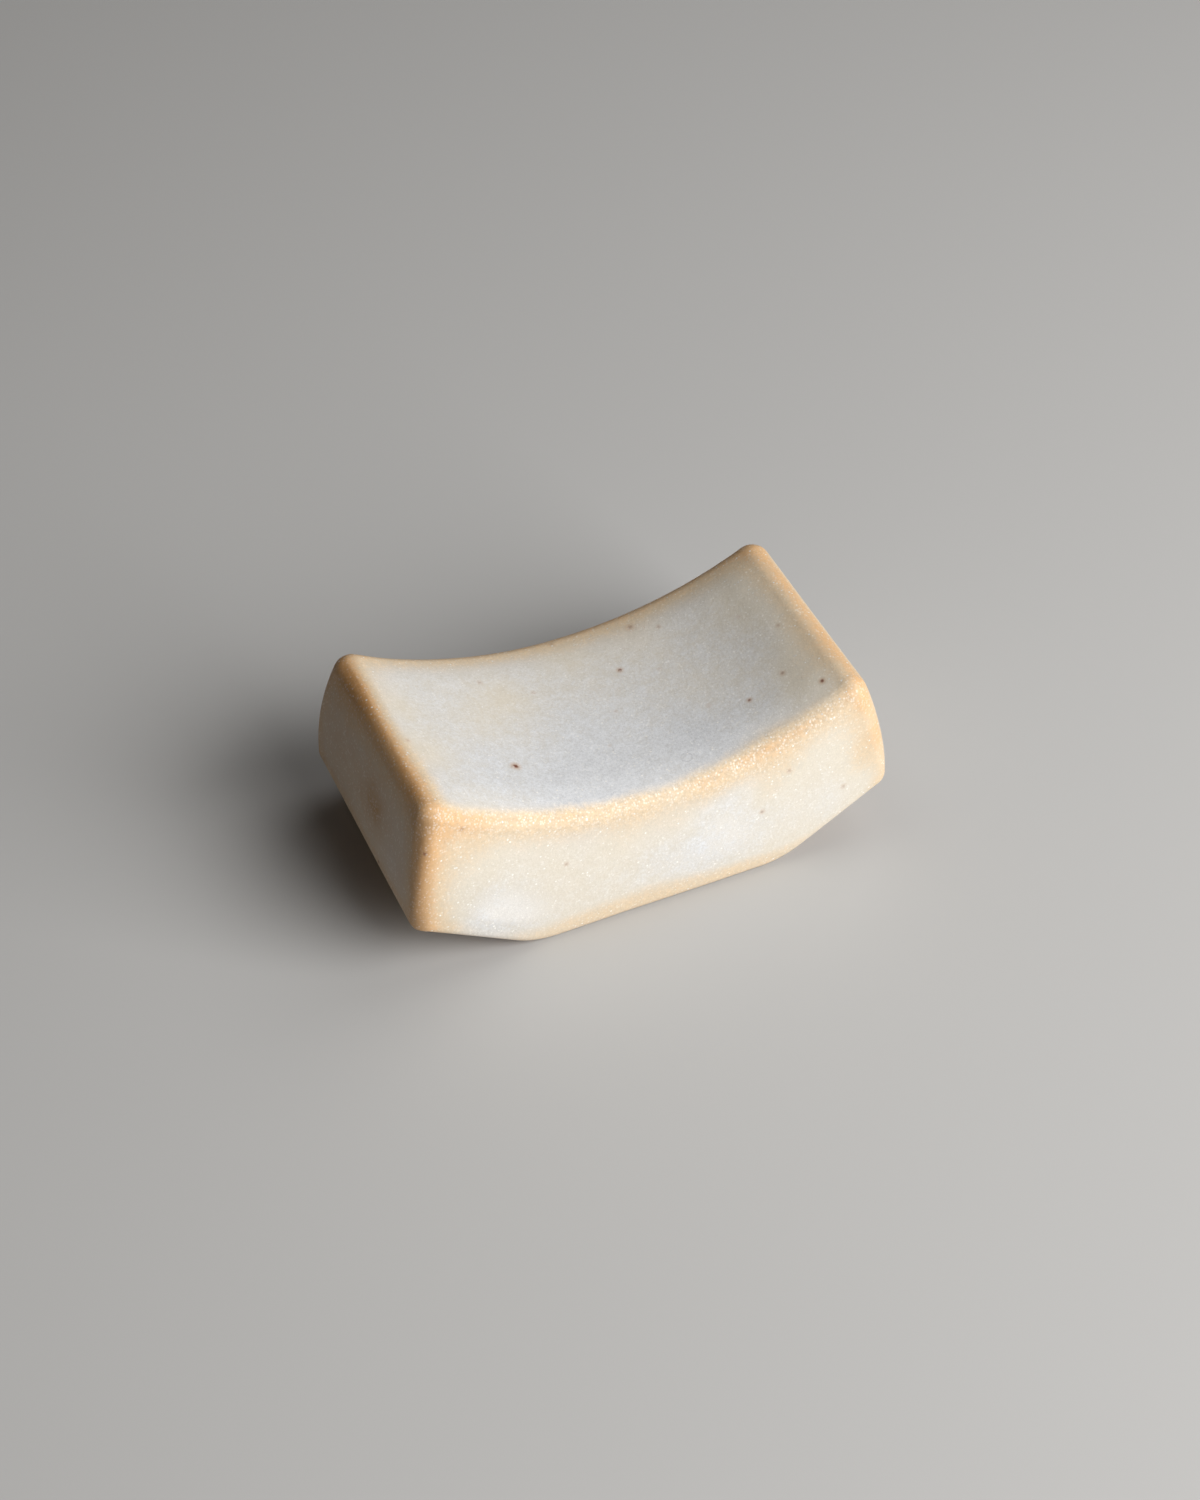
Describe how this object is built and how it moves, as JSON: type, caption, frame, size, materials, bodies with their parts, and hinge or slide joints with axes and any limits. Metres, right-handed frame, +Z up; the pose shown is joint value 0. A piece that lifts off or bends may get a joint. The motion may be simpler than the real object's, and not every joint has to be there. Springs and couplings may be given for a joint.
{
  "type": "chopstick rest",
  "caption": "Saddle-topped stoneware block that holds chopstick tips clear of the table, with a matt glaze over the saddle, sides and ends and a bare underside.",
  "frame": {"origin": "middle of the foot, on the table", "axes": "+X along the length, +Y across the width (the way chopsticks lie), +Z up"},
  "size_m": [0.05, 0.0274, 0.0194],
  "materials": {
    "stoneware": "fired, bare, matt",
    "matt_glaze": "satin matt, breaking to amber on the edges"
  },
  "bodies": {
    "root": {"clay_body": "stoneware", "glaze_coat": "matt_glaze"}
  },
  "joints": []
}
